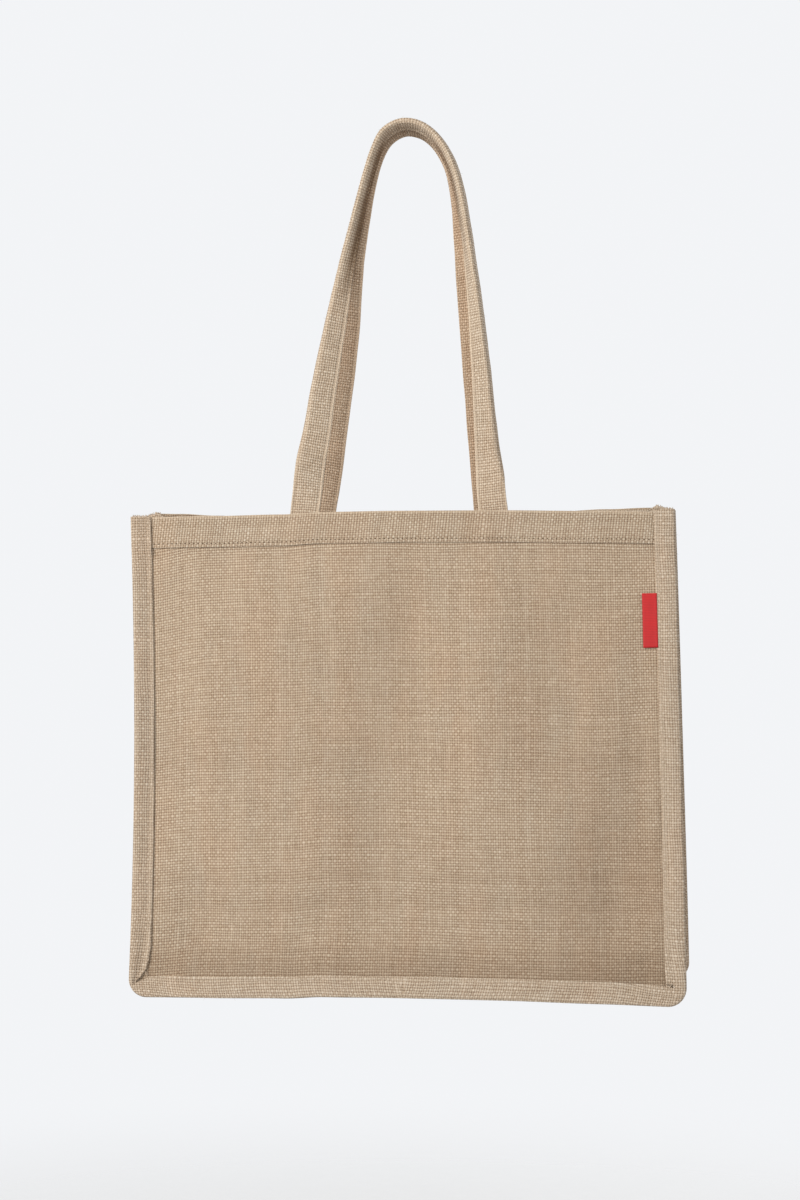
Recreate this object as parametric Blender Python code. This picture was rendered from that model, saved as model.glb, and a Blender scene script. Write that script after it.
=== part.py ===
"""Burlap shopping bag, hanging empty from its two handles.

Frame: +Z up, +X across the width, front face towards -Y. The origin is where the handles are held,
just under their arches. Sizes below are in millimetres and become metres where a mesh is made.

Body pieces are drawn in body coordinates (x across, drop below the rim, y in depth), as a straight
wedge-shaped bag. The function hang() then gives every one of them the same sag, sway and tilt, so the
pieces keep their small clearances.
"""

import math

import bmesh
import bpy
from mathutils import Vector

MILLIMETRE = 0.001

# Body
RIM_Z = -295.5          # rim of the mouth, below the grip
BODY_WIDTH = 426.0
BODY_HEIGHT = 372.0     # from the rim down to the bottom edge
MOUTH_DEPTH = 32.0      # front to back between the panels, at the rim
BASE_DEPTH = 125.0      # the same at the bottom edge

# Cloth
CLOTH = 1.5             # thickness of one layer of burlap
GAP = 0.35              # clearance between sewn layers
HEM_HEIGHT = 25.0       # fold to the outside along the rim
HEM_EXTRA = 1.8         # how much the folded layer stands out
HEM_SLOPE = 0.8         # height of the step at the hem's lower edge

# Border strips: the gusset's long edges, folded round the edges of the panels
STRIP_WIDTH = 15.5
STRIP_TOP = 2.5         # raw strip ends stand above the rim
WEB_TOP = 2.0           # the web between them ends this far below the rim
WEB_TOP_RAMP = 6.0      # width over which its top edge drops to there
BACK_LAYER = 12.5       # reach of the strip's layer behind the panel, before the web turns away
CORNER_RADIUS = 22.0
PANEL_INSET = 3.6       # panel edge, inside the folded strip
HEM_RAMP = (26.0, 33.0)  # drop over which a strip comes back down off the hem

# Gusset web between the strips
WEB_HALF = 60.0         # half of its width when flat
BASE_SAG = 3.0          # the bottom hangs this much below flat
BELLOWS_EASE = 70.0     # height over which the side folds open out above the corner
BELLOWS_LEFT = 0.2      # share of the fold that is left at the corner

# How the empty body hangs
SWAY = 10.0             # the bottom swings this far towards +X
SWAY_POWER = 1.8
WAIST = 0.008           # narrowing at mid height, as a share of the width
# Rise of the rim and of everything below it across the width: the handles hold the middle up, and the
# ends hang lower, more so at -X.
RISE_COLUMNS = ("x", "rise")
RISE_ROWS = (
    (-213.0, -4.0),
    (-150.0, -3.4),
    (-92.0, -2.4),
    (-60.0, -0.6),
    (0.0, 0.0),
    (74.0, 0.0),
    (150.0, -0.9),
    (213.0, -1.8),
)

# Handles
STRAP_WIDTH = 23.0
STRAP_THICKNESS = 2.4   # several folded layers sewn flat
STRAP_SEWN = 27.0       # length sewn inside the hem
STRAP_FOLD = 86.0       # degrees each half turns back where the strap is bunched
STRAP_RIDGE = 0.2       # share of the half width that the ridge takes up
STRAP_SHARES = (0.0, 0.11, 0.25, 0.5, 1.0)  # points across each half, closer at the ridge
SEWN_SPLAY = 1.02       # the sewn ends go on outwards a little
STRAP_STEP = 17.0       # length between sections where the strap is flat
STRAP_STEP_BUNCHED = 7.5  # the same where it is folded and goes over the grip

# Label, a tab held by the right border strip
LABEL_WIDTH = 11.5
LABEL_TOP = 64.0        # drop of its upper edge
LABEL_HEIGHT = 42.0
LABEL_THICKNESS = 1.0

# Number of cells
PANEL_COLUMNS = 20
PANEL_ROWS = 15
SIDE_STATIONS = 9       # down each side of the gusset, below the hem
SIDE_START = 60.0       # drop of the first of them
CORNER_STEPS = 5
BOTTOM_STEPS = 12
WEB_POINTS = 9
BEND_STEPS = 4          # in the fold at a strip's outer edge
LABEL_ROWS = 3

# Folds of the panels: x and drop of the centre at the fold's upper and lower end, half width across,
# and how far it goes in (towards the inside of the bag); a negative value stands out.
FOLD_COLUMNS = ("x_top", "drop_top", "x_end", "drop_end", "half_width", "depth")
FRONT_FOLDS = (
    (10.0, 60.0, -24.0, 330.0, 34.0, 5.5),
    (62.0, 50.0, 70.0, 240.0, 26.0, -2.5),
    (128.0, 45.0, 124.0, 210.0, 24.0, 4.0),
    (-120.0, 60.0, -110.0, 320.0, 60.0, -3.0),
    (172.0, 210.0, 160.0, 330.0, 40.0, 4.5),
    (-170.0, 250.0, -165.0, 340.0, 30.0, 2.5),
)
BACK_FOLDS = (
    (-20.0, 60.0, 16.0, 330.0, 36.0, 5.0),
    (-92.0, 50.0, -84.0, 250.0, 28.0, -2.5),
    (96.0, 70.0, 110.0, 300.0, 44.0, 3.0),
    (-150.0, 200.0, -140.0, 330.0, 36.0, 4.0),
    (160.0, 120.0, 150.0, 320.0, 34.0, -2.0),
)
FOLD_END = 60.0         # length over which a fold fades out at its ends
FOLD_CLEAR_SIDE = 18.0  # width along the border strips that stays flat
FOLD_RAMP_SIDE = 45.0
FOLD_CLEAR_TOP = 30.0   # height of the stiff band at the hem
FOLD_RAMP_TOP = 60.0
FOLD_RAMP_BASE = 30.0
BASE_TUCK = 2.5         # panels draw in just above the bottom strip
BASE_TUCK_HEIGHT = 34.0

# Handle routes: the middle of the strap, and how far it is folded lengthwise, from 0 (flat) to 1.
# The sewn ends are added below the first and last row.
ROUTE_COLUMNS = ("x", "y", "z", "fold")
FOLD = ROUTE_COLUMNS.index("fold")
FRONT_ROUTE = (
    (-73.4, -13.1, -296.5, 0.0),
    (-69.6, -12.9, -263.0, 0.26),
    (-64.5, -12.4, -231.0, 0.42),
    (-57.8, -11.6, -188.0, 0.52),
    (-50.0, -10.6, -141.0, 0.62),
    (-43.8, -9.8, -110.0, 0.74),
    (-36.0, -8.8, -68.0, 0.92),
    (-27.6, -8.2, -34.0, 1.0),
    (-20.0, -8.0, -13.0, 1.0),
    (-11.0, -8.0, 0.5, 1.0),
    (2.0, -8.0, 6.5, 1.0),
    (16.0, -8.0, 4.0, 1.0),
    (28.0, -8.0, -5.5, 1.0),
    (38.0, -8.0, -21.5, 1.0),
    (45.0, -8.2, -42.0, 1.0),
    (50.0, -8.8, -66.0, 1.0),
    (55.2, -9.8, -97.0, 0.96),
    (59.2, -10.6, -128.0, 0.86),
    (63.4, -11.6, -169.0, 0.76),
    (69.0, -12.6, -237.0, 0.54),
    (72.2, -13.0, -268.0, 0.28),
    (74.0, -13.1, -296.0, 0.0),
)
BACK_ROUTE = (
    (-65.9, 13.1, -296.5, 0.0),
    (-60.6, 12.8, -262.0, 0.26),
    (-51.8, 12.0, -208.0, 0.46),
    (-44.5, 11.0, -160.0, 0.58),
    (-38.6, 9.8, -111.0, 0.74),
    (-33.4, 8.8, -75.0, 0.90),
    (-27.2, 8.2, -43.0, 1.0),
    (-21.0, 8.0, -19.0, 1.0),
    (-12.0, 8.0, -2.5, 1.0),
    (1.0, 8.0, 5.0, 1.0),
    (15.0, 8.0, 2.5, 1.0),
    (27.0, 8.0, -7.0, 1.0),
    (36.2, 8.0, -23.0, 1.0),
    (41.6, 8.2, -43.0, 0.96),
    (44.8, 8.8, -69.0, 0.90),
    (48.8, 9.8, -112.0, 0.78),
    (54.2, 11.2, -166.0, 0.62),
    (59.0, 12.2, -212.0, 0.46),
    (64.2, 12.9, -262.0, 0.24),
    (67.6, 13.1, -296.0, 0.0),
)

# Colour and roughness of each piece
FINISHES = {
    "front_panel": ((0.475, 0.357, 0.246), 0.92),
    "back_panel": ((0.475, 0.357, 0.246), 0.92),
    "gusset": ((0.490, 0.370, 0.262), 0.92),
    "front_handle": ((0.440, 0.325, 0.220), 0.92),
    "back_handle": ((0.440, 0.325, 0.220), 0.92),
    "label": ((0.560, 0.035, 0.035), 0.70),
}

LAYER = CLOTH + GAP     # distance between the middles of two sewn layers
HALF_WIDTH = BODY_WIDTH / 2


def ease(start, end, value):
    """0 before start, 1 after end, smooth in between."""
    share = min(max((value - start) / (end - start), 0.0), 1.0)
    return share * share * (3.0 - 2.0 * share)


def spread(start, end, count):
    """count + 1 evenly spaced values from start to end."""
    return [start + (end - start) * step / count for step in range(count + 1)]


def half_depth(drop):
    """Distance of a panel's middle from the bag's middle plane."""
    return (MOUTH_DEPTH + (BASE_DEPTH - MOUTH_DEPTH) * drop / BODY_HEIGHT) / 2


def rise(x):
    """How far the rim and the cloth below it stand above RIM_Z."""
    rows = [dict(zip(RISE_COLUMNS, row)) for row in RISE_ROWS]
    for start, end in zip(rows, rows[1:]):
        if x < end["x"]:
            break
    return start["rise"] + (end["rise"] - start["rise"]) * ease(start["x"], end["x"], x)


def hang(x, drop, y):
    """World position, in metres, of a point given in body coordinates."""
    down = min(max(drop / BODY_HEIGHT, 0.0), 1.0)
    hung_x = x * (1.0 - WAIST * math.sin(math.pi * down)) + SWAY * (1.0 - (1.0 - down) ** SWAY_POWER)
    return Vector((hung_x, y, RIM_Z - drop + rise(x))) * MILLIMETRE


def offset_line(points, distance):
    """Copy of an open line in a plane, moved sideways by distance, with mitred bends."""
    normals = []
    for (a0, b0), (a1, b1) in zip(points, points[1:]):
        length = math.hypot(a1 - a0, b1 - b0)
        normals.append((-(b1 - b0) / length, (a1 - a0) / length))
    moved = []
    for index, (a, b) in enumerate(points):
        before = normals[max(index - 1, 0)]
        after = normals[min(index, len(normals) - 1)]
        cosine = before[0] * after[0] + before[1] * after[1]
        reach = distance / (1.0 + cosine)
        moved.append((a + (before[0] + after[0]) * reach, b + (before[1] + after[1]) * reach))
    return moved


def sheet_solid(name, upper, lower):
    """Closed solid between two grids of points that match row by row."""
    rows, columns = len(upper), len(upper[0])
    solid = bmesh.new()
    grids = [[[solid.verts.new(point) for point in row] for row in grid] for grid in (upper, lower)]
    above, below = grids
    for row in range(rows - 1):
        for column in range(columns - 1):
            corners = ((row, column), (row, column + 1), (row + 1, column + 1), (row + 1, column))
            solid.faces.new([above[r][c] for r, c in corners])
            solid.faces.new([below[r][c] for r, c in reversed(corners)])
    border = [(0, c) for c in range(columns)]
    border += [(r, columns - 1) for r in range(1, rows)]
    border += [(rows - 1, c) for c in range(columns - 2, -1, -1)]
    border += [(r, 0) for r in range(rows - 2, 0, -1)]
    for (r0, c0), (r1, c1) in zip(border, border[1:] + border[:1]):
        solid.faces.new((above[r1][c1], above[r0][c0], below[r0][c0], below[r1][c1]))
    bmesh.ops.recalc_face_normals(solid, faces=solid.faces)
    mesh = bpy.data.meshes.new(name)
    solid.to_mesh(mesh)
    solid.free()
    mesh.shade_smooth()
    mesh.set_sharp_from_angle(angle=math.radians(40.0))
    mesh.materials.append(make_material(name))
    piece = bpy.data.objects.new(name, mesh)
    bpy.context.scene.collection.objects.link(piece)
    return piece


def make_material(name):
    colour, roughness = FINISHES[name]
    material = bpy.data.materials.new(name)
    material.use_nodes = True
    shader = material.node_tree.nodes["Principled BSDF"]
    shader.inputs["Base Color"].default_value = (*colour, 1.0)
    shader.inputs["Roughness"].default_value = roughness
    shader.inputs["Metallic"].default_value = 0.0
    return material


def fold_depth(folds, x, drop):
    """How far the panel lies inside its flat plane at a point."""
    depth = 0.0
    for row in folds:
        fold = dict(zip(FOLD_COLUMNS, row))
        along = (drop - fold["drop_top"]) / (fold["drop_end"] - fold["drop_top"])
        centre = fold["x_top"] + (fold["x_end"] - fold["x_top"]) * min(max(along, 0.0), 1.0)
        across = (x - centre) / fold["half_width"]
        inside = ease(fold["drop_top"] - FOLD_END, fold["drop_top"] + FOLD_END, drop)
        inside *= 1.0 - ease(fold["drop_end"] - FOLD_END, fold["drop_end"] + FOLD_END, drop)
        depth += fold["depth"] * math.exp(-across * across) * inside
    from_base = BODY_HEIGHT - FOLD_CLEAR_SIDE - drop
    depth += BASE_TUCK * math.exp(-((from_base / BASE_TUCK_HEIGHT - 1.0) ** 2))
    from_side = HALF_WIDTH - FOLD_CLEAR_SIDE - abs(x)
    window = ease(0.0, FOLD_RAMP_SIDE, from_side)
    window *= ease(FOLD_CLEAR_TOP, FOLD_CLEAR_TOP + FOLD_RAMP_TOP, drop)
    window *= ease(0.0, FOLD_RAMP_BASE, from_base)
    return depth * window


def panel_rows():
    """Rows of a panel: drop, how far the hem stands out, and the half width there."""
    inner_radius = CORNER_RADIUS - PANEL_INSET
    straight = HALF_WIDTH - PANEL_INSET
    corner_start = BODY_HEIGHT - CORNER_RADIUS
    rows = [(drop, HEM_EXTRA, straight) for drop in (0.0, HEM_HEIGHT / 2, HEM_HEIGHT - HEM_SLOPE / 2)]
    rows += [(drop, 0.0, straight)
             for drop in spread(HEM_HEIGHT + HEM_SLOPE / 2, corner_start, PANEL_ROWS)]
    for angle in spread(0.0, math.pi / 2, CORNER_STEPS)[1:]:
        cut = inner_radius * (1.0 - math.cos(angle))
        rows.append((corner_start + inner_radius * math.sin(angle), 0.0, straight - cut))
    return rows


def make_panel(name, side, folds):
    """side is -1 for the front and +1 for the back."""
    straight = HALF_WIDTH - PANEL_INSET
    flat_edge = HALF_WIDTH - FOLD_CLEAR_SIDE
    columns = [-straight] + spread(-flat_edge, flat_edge, PANEL_COLUMNS) + [straight]
    outer, inner = [], []
    for drop, hem, half_width in panel_rows():
        across = [x * half_width / straight for x in columns]
        depths = [half_depth(drop) - fold_depth(folds, x, drop) for x in across]
        outer.append([hang(x, drop, side * (y + CLOTH / 2 + hem)) for x, y in zip(across, depths)])
        inner.append([hang(x, drop, side * (y - CLOTH / 2)) for x, y in zip(across, depths)])
    return sheet_solid(name, outer, inner)


def gusset_stations():
    """Sections along the gusset's outer edge, from the left top to the right top.

    Each is the edge point (x, drop), the direction into the bag (x, drop), and how far the web folds in.
    """
    corner_start = BODY_HEIGHT - CORNER_RADIUS
    drops = [-STRIP_TOP, HEM_HEIGHT / 2, *HEM_RAMP, *spread(SIDE_START, corner_start, SIDE_STATIONS)]
    left = []
    for drop in drops:
        web = half_depth(drop) - LAYER
        open_share = 1.0 - (1.0 - BELLOWS_LEFT) * ease(corner_start - BELLOWS_EASE, corner_start, drop)
        left.append(((-HALF_WIDTH, drop), (1.0, 0.0), math.sqrt(WEB_HALF ** 2 - web ** 2) * open_share))
    last_fold = left[-1][2]
    for angle in spread(0.0, math.pi / 2, CORNER_STEPS)[1:]:
        out = (-math.cos(angle), math.sin(angle))
        edge = (-HALF_WIDTH + CORNER_RADIUS * (1.0 + out[0]), corner_start + CORNER_RADIUS * out[1])
        turned = angle / (math.pi / 2)
        left.append((edge, (-out[0], -out[1]), last_fold + (-BASE_SAG - last_fold) * turned))
    bottom_end = HALF_WIDTH - CORNER_RADIUS
    bottom = [((x, BODY_HEIGHT), (0.0, -1.0), -BASE_SAG)
              for x in spread(-bottom_end, bottom_end, BOTTOM_STEPS)[1:-1]]
    right = [((-x, drop), (-into_x, into_drop), fold)
             for (x, drop), (into_x, into_drop), fold in reversed(left)]
    return left + bottom + right


def gusset_section(edge, into, fold):
    """Middle line of the cloth in one section, as (distance from the edge, y), front to back."""
    def depth_at(inward):
        return half_depth(edge[1] + into[1] * inward)

    hem = HEM_EXTRA * (1.0 - ease(*HEM_RAMP, edge[1])) * abs(into[0])
    radius = LAYER + hem / 2
    front = [(inward, -(depth_at(inward) + LAYER + hem)) for inward in (STRIP_WIDTH, STRIP_WIDTH / 2)]
    bend = CLOTH / 2 + radius
    for angle in spread(math.pi / 2, -math.pi / 2, BEND_STEPS):
        inward = bend - radius * math.cos(angle)
        front.append((inward, -(depth_at(inward) + hem / 2 + radius * math.sin(angle))))
    front.append((BACK_LAYER, -(depth_at(BACK_LAYER) - LAYER)))
    web_half = depth_at(STRIP_WIDTH) - LAYER
    web = []
    for angle in spread(-math.pi / 2, math.pi / 2, WEB_POINTS - 1):
        share = math.sin(angle)
        web.append((STRIP_WIDTH + fold * (1.0 - share * share), share * web_half))
    back = [(inward, -y) for inward, y in reversed(front)]
    return front + web + back


def make_gusset():
    inside, outside = [], []
    for edge, into, fold in gusset_stations():
        section = gusset_section(edge, into, fold)
        web_drop = STRIP_TOP + WEB_TOP if edge[1] < 0.0 else 0.0
        for grid, distance in ((inside, -CLOTH / 2), (outside, CLOTH / 2)):
            row = []
            for inward, y in offset_line(section, distance):
                lower = web_drop * ease(STRIP_WIDTH - CLOTH, STRIP_WIDTH + WEB_TOP_RAMP, inward)
                row.append(hang(edge[0] + into[0] * inward, edge[1] + into[1] * inward + lower, y))
            grid.append(row)
    return sheet_solid("gusset", inside, outside)


def smooth_route(route):
    """Points on a smooth curve through the rows of a route, closer together where it is bunched."""
    rows = [Vector(row) for row in route]
    rows = [rows[0] * 2 - rows[1], *rows, rows[-1] * 2 - rows[-2]]
    points = []
    for before, start, end, after in zip(rows, rows[1:], rows[2:], rows[3:]):
        bunched = (start[FOLD] * end[FOLD]) ** 4
        step = STRAP_STEP + (STRAP_STEP_BUNCHED - STRAP_STEP) * bunched
        parts = max(1, round((end.xyz - start.xyz).length / step))
        for index in range(parts):
            t = index / parts
            points.append(0.5 * (2 * start + (end - before) * t
                                 + (2 * before - 5 * start + 4 * end - after) * t ** 2
                                 + (3 * start - before - 3 * end + after) * t ** 3))
    return points + [rows[-2]]


def strap_section(fold):
    """Middle line across a strap as (across, back): flat at fold 0, folded round a front ridge at 1."""
    half = STRAP_WIDTH / 2
    turn = math.radians(STRAP_FOLD) * fold
    side = [(0.0, 0.0)]
    for start, end in zip(STRAP_SHARES, STRAP_SHARES[1:]):
        angle = turn * math.tanh((start + end) / 2 / STRAP_RIDGE) / math.tanh(1.0 / STRAP_RIDGE)
        length = half * (end - start)
        side.append((side[-1][0] + length * math.cos(angle), side[-1][1] + length * math.sin(angle)))
    depth = side[-1][1] / 2
    line = [(-across, back) for across, back in reversed(side)] + side[1:]
    return [(across, back - depth) for across, back in line]


def sewn_end(row, side):
    """Route row at the end of the strap, down inside the hem."""
    x, _, z, _ = row
    inner = half_depth(STRAP_SEWN) - CLOTH / 2 - 2 * GAP - STRAP_THICKNESS / 2
    return (x * SEWN_SPLAY, side * inner, z - STRAP_SEWN, 0.0)


def make_handle(name, side, route):
    """side is -1 for the front and +1 for the back."""
    points = smooth_route([sewn_end(route[0], side), *route, sewn_end(route[-1], side)])
    front, back = [], []
    for index, point in enumerate(points):
        ahead = points[min(index + 1, len(points) - 1)].xyz
        behind = points[max(index - 1, 0)].xyz
        along = (ahead - behind).normalized()
        across = along.cross(Vector((0.0, 1.0, 0.0))).normalized()
        inward = across.cross(along).normalized()
        section = strap_section(point[FOLD])
        for grid, distance in ((front, -STRAP_THICKNESS / 2), (back, STRAP_THICKNESS / 2)):
            grid.append([(point.xyz + across * a + inward * b) * MILLIMETRE
                         for a, b in offset_line(section, distance)])
    return sheet_solid(name, front, back)


def make_label():
    """Plain tab flat on the front panel, its right edge at the border strip."""
    right = HALF_WIDTH - STRIP_WIDTH - GAP
    near, far = [], []
    for drop in spread(LABEL_TOP, LABEL_TOP + LABEL_HEIGHT, LABEL_ROWS):
        face = half_depth(drop) + CLOTH / 2 + GAP
        for grid, stand in ((near, face + LABEL_THICKNESS), (far, face)):
            grid.append([hang(x, drop, -stand) for x in (right - LABEL_WIDTH, right)])
    return sheet_solid("label", near, far)


def main():
    for old in list(bpy.data.objects):
        bpy.data.objects.remove(old)
    make_panel("front_panel", -1.0, FRONT_FOLDS)
    make_panel("back_panel", 1.0, BACK_FOLDS)
    make_gusset()
    make_handle("front_handle", -1.0, FRONT_ROUTE)
    make_handle("back_handle", 1.0, BACK_ROUTE)
    make_label()


main()
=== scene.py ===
# Burlap bag held up by its two folded straps. Lengths in the dictionaries are millimetres.
from math import acos, copysign, cos, exp, hypot, pi, radians, sin, sqrt, tanh
import bpy
import bmesh
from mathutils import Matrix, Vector, noise


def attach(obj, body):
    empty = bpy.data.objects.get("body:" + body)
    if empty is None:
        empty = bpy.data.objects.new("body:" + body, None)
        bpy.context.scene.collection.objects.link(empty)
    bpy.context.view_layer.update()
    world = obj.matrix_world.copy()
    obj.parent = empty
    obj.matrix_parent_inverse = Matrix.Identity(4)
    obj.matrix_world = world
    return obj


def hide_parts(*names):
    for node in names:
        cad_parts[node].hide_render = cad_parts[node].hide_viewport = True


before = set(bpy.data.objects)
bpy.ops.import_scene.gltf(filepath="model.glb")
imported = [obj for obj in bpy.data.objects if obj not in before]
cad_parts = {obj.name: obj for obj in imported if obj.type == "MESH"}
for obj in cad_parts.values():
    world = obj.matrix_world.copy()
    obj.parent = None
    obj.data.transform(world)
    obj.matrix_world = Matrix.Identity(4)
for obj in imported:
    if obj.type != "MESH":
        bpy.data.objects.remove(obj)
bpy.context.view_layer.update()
print("frame loaded:", ", ".join(sorted(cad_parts)))

mm = 0.001


# ---- node helpers ----
class NodeMaker:  # adds nodes to one tree; a value is a number, a tuple or another node's socket
    def __init__(self, tree):
        self.tree = tree

    def join(self, value, socket):
        if isinstance(value, bpy.types.NodeSocket):
            self.tree.links.new(value, socket)
        else:
            socket.default_value = value

    def put(self, kind, inputs=None, **settings):
        node = self.tree.nodes.new(kind)
        for key, value in settings.items():
            setattr(node, key, value)
        self.fill(node, inputs or {})
        return node

    def fill(self, node, inputs):
        for key, value in inputs.items():
            self.join(value, node.inputs[key])

    def group(self, tree, inputs):
        return self.put("ShaderNodeGroup", inputs, node_tree=tree).outputs

    def calc(self, operation, *values, clamp=False):
        inputs = dict(enumerate(values))
        return self.put("ShaderNodeMath", inputs, operation=operation, use_clamp=clamp).outputs[0]

    def add(self, first, second):
        return self.calc("ADD", first, second)

    def take(self, first, second):
        return self.calc("SUBTRACT", first, second)

    def times(self, first, second):
        return self.calc("MULTIPLY", first, second)

    def timesAdd(self, first, second, added):
        return self.calc("MULTIPLY_ADD", first, second, added)

    def vector(self, x, y, z=0.0):
        return self.put("ShaderNodeCombineXYZ", {0: x, 1: y, 2: z}).outputs[0]

    def stretch(self, vector, by, operation="MULTIPLY"):
        return self.put("ShaderNodeVectorMath", {0: vector, 1: by}, operation=operation).outputs[0]

    def colour(self, red, green, blue):
        return self.put("ShaderNodeCombineColor", {0: red, 1: green, 2: blue}).outputs[0]

    def remap(self, value, low, high, newLow=0.0, newHigh=1.0, smooth=False):
        kind = "SMOOTHSTEP" if smooth else "LINEAR"
        inputs = {"Value": value, "From Min": low, "From Max": high, "To Min": newLow, "To Max": newHigh}
        return self.put("ShaderNodeMapRange", inputs, interpolation_type=kind).outputs["Result"]

    def mix(self, share, first, second, blend="MIX"):
        inputs = {0: share, 6: first, 7: second}
        return self.put("ShaderNodeMix", inputs, data_type="RGBA", blend_type=blend).outputs[2]

    def cloudy(self, vector, scale, detail=2.0, roughness=0.5):
        inputs = {"Vector": vector, "Scale": scale, "Detail": detail, "Roughness": roughness}
        return self.put("ShaderNodeTexNoise", inputs).outputs[0]

    def bump(self, strength, distance, height):
        inputs = {"Strength": strength, "Distance": distance * mm, "Height": height}
        return self.put("ShaderNodeBump", inputs).outputs[0]

    def chance(self, low, high, seed):  # a random number for each instance
        node = self.put("FunctionNodeRandomValue", data_type="FLOAT")
        values = {"Min": low, "Max": high, "Seed": seed}
        for socket in node.inputs:
            if socket.enabled and socket.name in values:
                self.join(values[socket.name], socket)
        return next(socket for socket in node.outputs if socket.enabled)


def newGroup(name, kind, inputs, outputs):  # an input's value gives its type, or names it
    tree = bpy.data.node_groups.new(name, kind)
    types = {float: "Float", int: "Int", tuple: "Color"}
    for label, value in inputs.items():
        socketType = types.get(type(value), value)
        socket = tree.interface.new_socket(label, in_out="INPUT", socket_type="NodeSocket" + socketType)
        if socketType != value:
            socket.default_value = value
    for label, socketType in outputs.items():
        tree.interface.new_socket(label, in_out="OUTPUT", socket_type="NodeSocket" + socketType)
    ask = tree.nodes.new("NodeGroupInput").outputs
    result = tree.nodes.new("NodeGroupOutput").inputs
    return NodeMaker(tree), ask, result


def newMaterial(name):
    material = bpy.data.materials.new(name)
    material.use_nodes = True
    return material, NodeMaker(material.node_tree), material.node_tree.nodes["Principled BSDF"]


def addObject(name, data):
    added = bpy.data.objects.new(name, data)
    bpy.context.scene.collection.objects.link(added)
    return added


# ---- camera, lights and floor ----
view = {
    "yaw": 8.0,  # degrees to the right of straight ahead
    "distance": 1810.0,
    "aside": 1.0,
    "height": -364.9,
    "lens": 69.24,  # on a 36 mm long side
}

room = {
    "background": (0.893, 0.905, 0.925, 1.0),
    "daylight": (0.97, 0.985, 1.0, 1.0),
    "ambient": 0.30,
    "floorDrop": 1060.0,
    "floorRadius": 1500.0,
    "floorColour": (0.74, 0.74, 0.74, 1.0),
    # name: position, aim, size, watts, colour
    "lamps": {
        "keySoftbox": ((-1560, -1380, 520), (-60, 0, -470), 1150, 59.0, (1.0, 0.985, 0.965)),
        "frontFill": ((300, -2600, 500), (0, 0, -380), 1500, 15.5, (0.97, 0.985, 1.0)),
        "sideFill": ((1900, -900, 100), (0, 0, -420), 1300, 14.5, (0.97, 0.985, 1.0)),
        "backFill": ((900, 2300, 700), (0, 0, -380), 1500, 40.0, (1.0, 0.99, 0.97)),
    },
}


def turnTowards(thing, direction):
    thing.rotation_mode = "QUATERNION"
    thing.rotation_quaternion = direction.to_track_quat("-Z", "Y")


def makeCamera():
    yaw = radians(view["yaw"])
    ahead = Vector((-sin(yaw), cos(yaw), 0.0))
    right = Vector((cos(yaw), sin(yaw), 0.0))
    data = bpy.data.cameras.new("studioCamera")
    data.lens = view["lens"]
    data.sensor_width = 36.0
    data.clip_start = 0.05
    camera = addObject("studioCamera", data)
    camera.location = (right * -view["aside"] - ahead * view["distance"]) * mm
    camera.location.z = view["height"] * mm
    turnTowards(camera, ahead)
    bpy.context.scene.camera = camera


def makeLamps():
    for name, (place, aim, size, watts, colour) in room["lamps"].items():
        data = bpy.data.lights.new(name, "AREA")
        data.size = size * mm
        data.energy = watts
        data.color = colour
        lamp = addObject(name, data)
        lamp.location = Vector(place) * mm
        turnTowards(lamp, Vector(aim) - Vector(place))
        lamp.visible_camera = False


def makeWorld():  # the camera sees the background, and the bag is lit by a weaker daylight
    world = bpy.data.worlds.new("paleStudio")
    world.use_nodes = True
    world.node_tree.nodes.clear()
    n = NodeMaker(world.node_tree)
    seen = n.put("ShaderNodeBackground", {"Color": room["background"]}).outputs[0]
    daylight = {"Color": room["daylight"], "Strength": room["ambient"]}
    lit = n.put("ShaderNodeBackground", daylight).outputs[0]
    direct = n.put("ShaderNodeLightPath").outputs["Is Camera Ray"]
    mixed = n.put("ShaderNodeMixShader", {0: direct, 1: lit, 2: seen}).outputs[0]
    n.put("ShaderNodeOutputWorld", {"Surface": mixed})
    bpy.context.scene.world = world


makeCamera()
makeLamps()
makeWorld()
bpy.context.scene.view_settings.view_transform = "Standard"
print("camera, lamps and world made")


# ---- woven finish, shared by the body, straps, stitches and tab ----
threadInputs = {"Warps per Metre": 546.0, "Wefts per Metre": 476.0, "Thread Width": 0.4,
                "Unevenness": 1.0, "Warp Lead": 0.0, "Weft Lightness": 0.25, "Seed": 0.0}


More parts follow.
